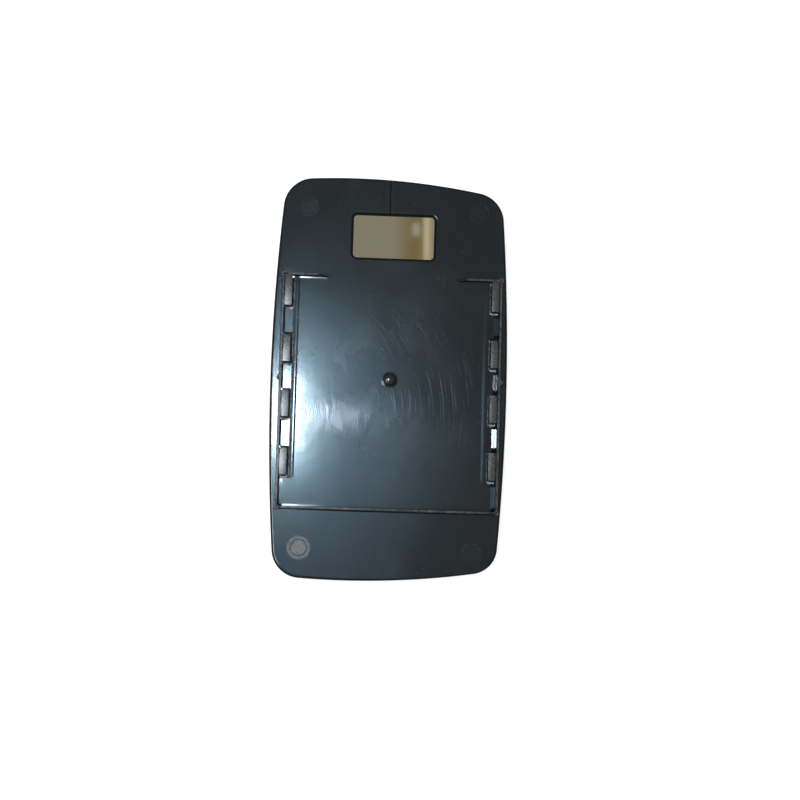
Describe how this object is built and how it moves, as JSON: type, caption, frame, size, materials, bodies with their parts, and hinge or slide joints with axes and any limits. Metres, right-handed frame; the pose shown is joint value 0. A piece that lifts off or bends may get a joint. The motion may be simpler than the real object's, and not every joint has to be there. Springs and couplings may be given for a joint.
{
  "type": "car door mirror glass",
  "caption": "Replacement glass for a car door mirror: a convex mirror bonded into a moulded backing plate with hooked slide rails, a centre pin and a window.",
  "frame": {"origin": "lowest point of the bulging glass, under the middle of the plate, which lies on its glass", "axes": "+Z from the glass to the hooked back, +Y up the plate to the end with the window, +X to the right seen from the back"},
  "size_m": [0.1394, 0.2378, 0.0115],
  "materials": {
    "black_plastic": "glossy black moulding with fine scratches; the hooks' tops are matt",
    "foam": "matt dark double-sided foam",
    "mirror_glass": "polished, reflecting on both faces"
  },
  "bodies": {
    "root": {"backing_plate": "black_plastic", "adhesive_pad": "foam", "mirror_glass": "mirror_glass"}
  },
  "joints": []
}
